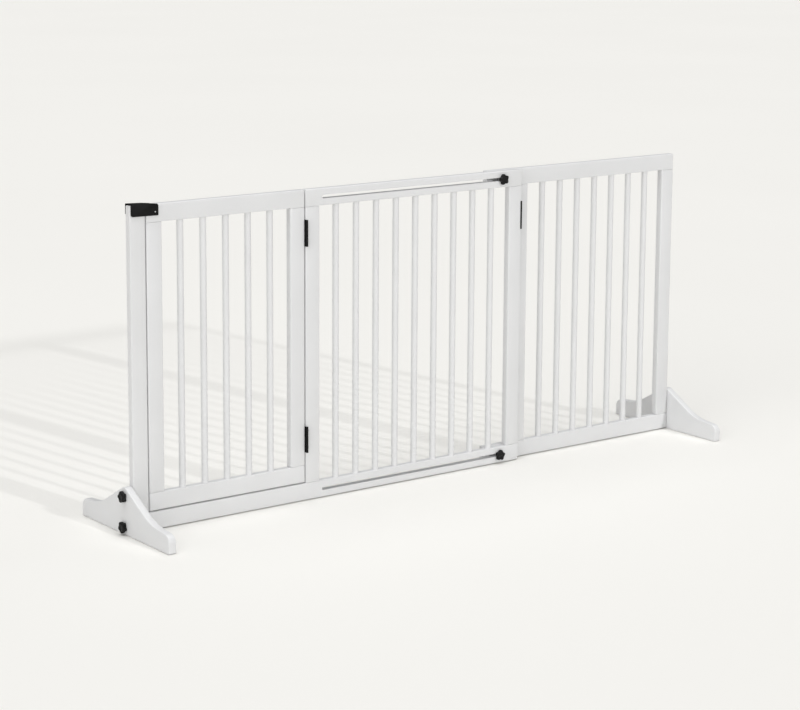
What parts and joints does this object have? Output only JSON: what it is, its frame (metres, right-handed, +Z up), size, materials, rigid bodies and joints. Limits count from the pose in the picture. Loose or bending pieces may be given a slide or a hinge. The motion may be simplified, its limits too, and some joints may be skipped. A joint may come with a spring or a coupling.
{
  "type": "pet gate",
  "caption": "Freestanding barred pet gate: fixed middle panel, hinged door with a flip-over latch, and a sliding panel that sets the width, on two cross feet.",
  "frame": {"origin": "middle of the footprint on the floor, with the gate at its full length, the door shut and the knobs on both ends counted", "axes": "+X along the gate from the door's post to the sliding panel, +Y backwards from the side with the hinges and clamp knobs, +Z up"},
  "size_m": [1.6382, 0.3874, 0.7153],
  "materials": {
    "white_paint": "satin white painted wood",
    "black_plastic": "matt moulded plastic",
    "black_steel": "satin black coated steel",
    "zinc_steel": "zinc plated steel"
  },
  "bodies": {
    "frame": {"bottom_rail": "white_paint", "end_post": "white_paint", "middle_top_rail": "white_paint", "middle_left_stile": "white_paint", "middle_right_stile": "white_paint", "middle_bar_1": "white_paint", "middle_bar_2": "white_paint", "middle_bar_3": "white_paint", "middle_bar_4": "white_paint", "middle_bar_5": "white_paint", "middle_bar_6": "white_paint", "middle_bar_7": "white_paint", "middle_bar_8": "white_paint", "middle_bar_9": "white_paint", "left_foot": "white_paint", "upper_hinge_frame_leaf": "black_steel", "lower_hinge_frame_leaf": "black_steel", "edge_guard": "black_steel"},
    "door": {"door_top_rail": "white_paint", "door_bottom_rail": "white_paint", "door_latch_stile": "white_paint", "door_hinge_stile": "white_paint", "door_bar_1": "white_paint", "door_bar_2": "white_paint", "door_bar_3": "white_paint", "door_bar_4": "white_paint", "door_bar_5": "white_paint", "upper_hinge_door_leaf": "black_steel", "lower_hinge_door_leaf": "black_steel", "upper_hinge_pin": "black_steel", "lower_hinge_pin": "black_steel", "latch_pin": "zinc_steel"},
    "latch": {"latch": "black_steel"},
    "sliding_panel": {"extension_top_rail": "white_paint", "extension_bottom_rail": "white_paint", "extension_inner_stile": "white_paint", "extension_outer_stile": "white_paint", "extension_bar_1": "white_paint", "extension_bar_2": "white_paint", "extension_bar_3": "white_paint", "extension_bar_4": "white_paint", "extension_bar_5": "white_paint", "extension_bar_6": "white_paint", "extension_bar_7": "white_paint", "right_foot": "white_paint", "upper_insert": "zinc_steel", "lower_insert": "zinc_steel"},
    "left_foot_lower_knob": {"left_foot_lower_knob": "black_plastic", "left_foot_lower_stud": "zinc_steel"},
    "right_foot_lower_knob": {"right_foot_lower_knob": "black_plastic", "right_foot_lower_stud": "zinc_steel"},
    "lower_clamp_knob": {"lower_clamp_knob": "black_plastic", "lower_clamp_stud": "zinc_steel"},
    "left_foot_upper_knob": {"left_foot_upper_knob": "black_plastic", "left_foot_upper_stud": "zinc_steel"},
    "right_foot_upper_knob": {"right_foot_upper_knob": "black_plastic", "right_foot_upper_stud": "zinc_steel"},
    "upper_clamp_knob": {"upper_clamp_knob": "black_plastic", "upper_clamp_stud": "zinc_steel"}
  },
  "joints": [
    {"name": "door_swing", "type": "hinge", "parent": "frame", "child": "door", "pos_m": [-0.3447, -0.02355, 0.378], "axis": [0, 0, 1], "range_deg": [0, 170]},
    {"name": "latch_flip", "type": "hinge", "parent": "door", "child": "latch", "pos_m": [-0.7305, -0.00975, 0.6936], "axis": [0, 1, 0], "range_deg": [0, 95]},
    {"name": "panel_slide", "type": "slide", "parent": "frame", "child": "sliding_panel", "axis": [1, 0, 0], "range_m": [-0.51, 0]},
    {"name": "left_foot_lower_turn", "type": "hinge", "parent": "frame", "child": "left_foot_lower_knob", "pos_m": [-0.8096, -0.00975, 0.017], "axis": [-1, 0, 0], "range_deg": [0, 720]},
    {"name": "right_foot_lower_turn", "type": "hinge", "parent": "sliding_panel", "child": "right_foot_lower_knob", "pos_m": [0.8096, 0.00975, 0.017], "axis": [1, 0, 0], "range_deg": [0, 720]},
    {"name": "lower_clamp_turn", "type": "hinge", "parent": "sliding_panel", "child": "lower_clamp_knob", "pos_m": [0.219, -0.01905, 0.0215], "axis": [0, -1, 0], "range_deg": [0, 720]},
    {"name": "left_foot_upper_turn", "type": "hinge", "parent": "frame", "child": "left_foot_upper_knob", "pos_m": [-0.8096, -0.00975, 0.084], "axis": [-1, 0, 0], "range_deg": [0, 720]},
    {"name": "right_foot_upper_turn", "type": "hinge", "parent": "sliding_panel", "child": "right_foot_upper_knob", "pos_m": [0.8096, 0.00975, 0.084], "axis": [1, 0, 0], "range_deg": [0, 720]},
    {"name": "upper_clamp_turn", "type": "hinge", "parent": "sliding_panel", "child": "upper_clamp_knob", "pos_m": [0.219, -0.01905, 0.6905], "axis": [0, -1, 0], "range_deg": [0, 720]}
  ]
}
